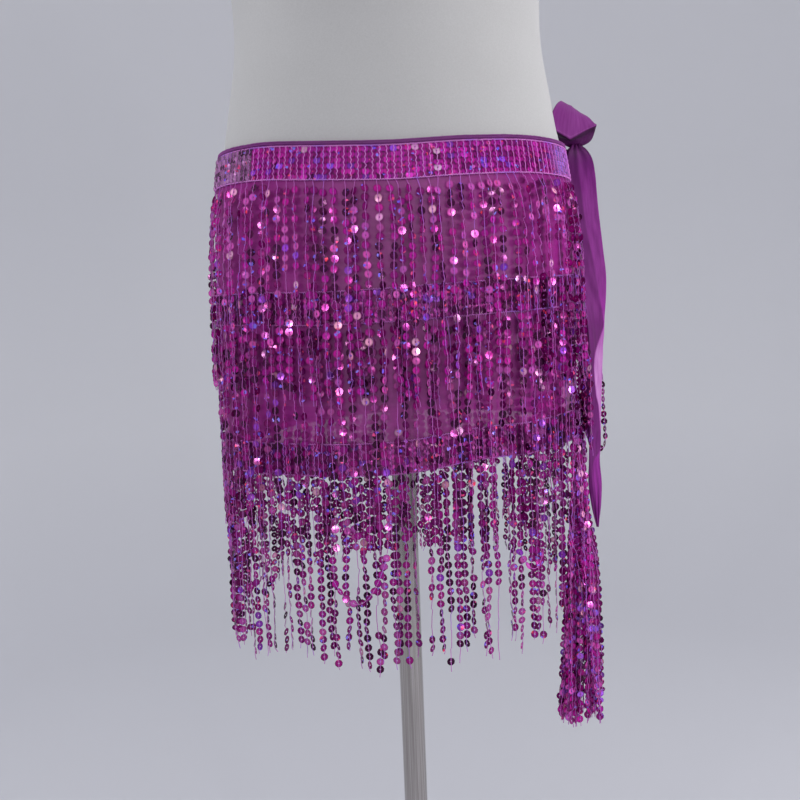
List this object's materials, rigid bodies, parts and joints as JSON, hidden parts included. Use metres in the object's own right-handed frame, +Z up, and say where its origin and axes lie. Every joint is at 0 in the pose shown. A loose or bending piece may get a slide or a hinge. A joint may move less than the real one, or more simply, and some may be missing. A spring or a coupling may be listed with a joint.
{
  "type": "belly dance hip scarf on a limbless dress form",
  "caption": "Purple satin hip scarf with three tiers of hanging sequin strands, tied at one hip round a limbless dress form on a pole stand.",
  "frame": {"origin": "middle of the stand's underside, on the floor", "axes": "+Z up along the pole, -Y towards the front of the scarf, +X towards the tied hip"},
  "size_m": [0.39, 0.39, 1.551],
  "materials": {
    "satin": "thin satin, slightly sheer",
    "binding": "satin",
    "ribbon": "satin",
    "sequins": "metallised film, mirror bright",
    "sequin_strands": "metallised film, mirror bright",
    "form_cover": "matte",
    "chrome": "polished",
    "base_paint": "satin"
  },
  "bodies": {
    "root": {"hip_cloth": "satin", "waist_binding": "binding", "header_top": "sequins", "header_middle": "sequins", "header_lower": "sequins", "header_corner": "sequins", "fringe_top": "sequin_strands", "fringe_middle": "sequin_strands", "fringe_lower": "sequin_strands", "fringe_corner": "sequin_strands", "tie_front": "ribbon", "tie_back": "ribbon", "knot": "ribbon", "bow_loop": "ribbon", "tail_front": "ribbon", "tail_back": "ribbon", "dress_form": "form_cover", "pole": "chrome", "base_plate": "base_paint"}
  },
  "joints": []
}
